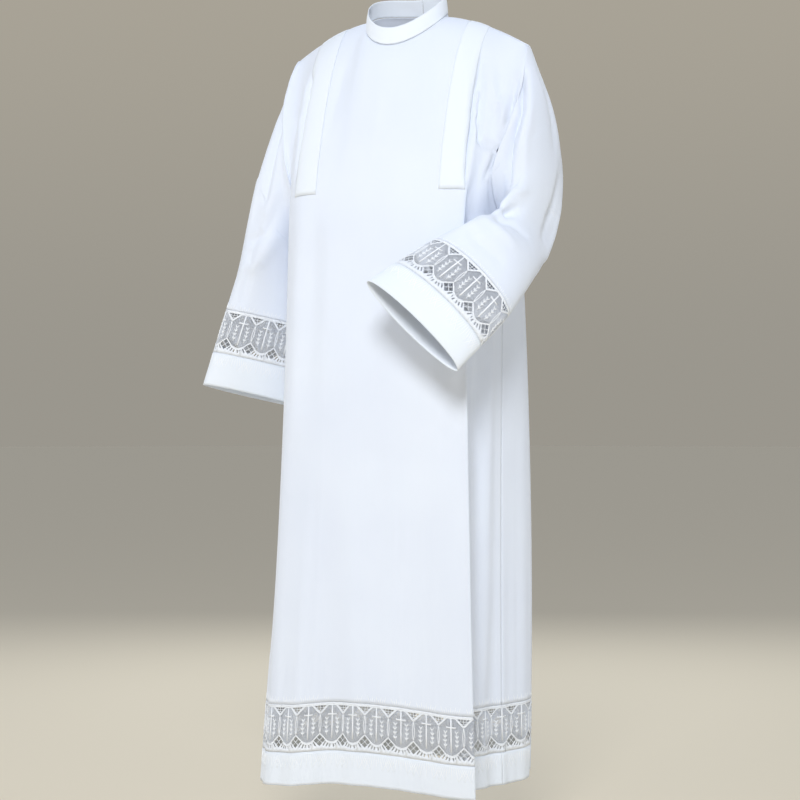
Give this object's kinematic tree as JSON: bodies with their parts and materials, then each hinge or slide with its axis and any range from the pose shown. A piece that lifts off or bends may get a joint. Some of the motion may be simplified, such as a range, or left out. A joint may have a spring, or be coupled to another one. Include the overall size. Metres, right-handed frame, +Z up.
{
  "type": "alb robe",
  "caption": "Long white hollow robe in its worn pose, with a stand collar, two stitched front bands, wide sleeves and cutwork lace at the hem and cuffs.",
  "frame": {"origin": "midway between the points where the shoulder seams meet the collar, where the wearer's neck and shoulders hold the robe", "axes": "+Z up along the robe's length, -Y the front, +X the wearer's left"},
  "size_m": [0.7133, 0.561, 1.4903],
  "materials": {
    "cloth": "smooth light white cloth, matt",
    "band": "doubled and pressed white cloth, matt",
    "lace": "white embroidered net and cutwork lace"
  },
  "bodies": {
    "root": {"collar": "band", "front_panel": "cloth", "back_panel": "cloth", "front_band_left": "band", "front_band_right": "band", "back_flap": "band", "sleeve_left": "cloth", "sleeve_right": "cloth", "cuff_lace_left_outer": "lace", "cuff_lace_left_inner": "lace", "cuff_lace_right_outer": "lace", "cuff_lace_right_inner": "lace", "cuff_band_left": "band", "cuff_band_right": "band", "hem_lace_front": "lace", "hem_lace_back": "lace", "hem_band_front": "band", "hem_band_back": "band"}
  },
  "joints": []
}
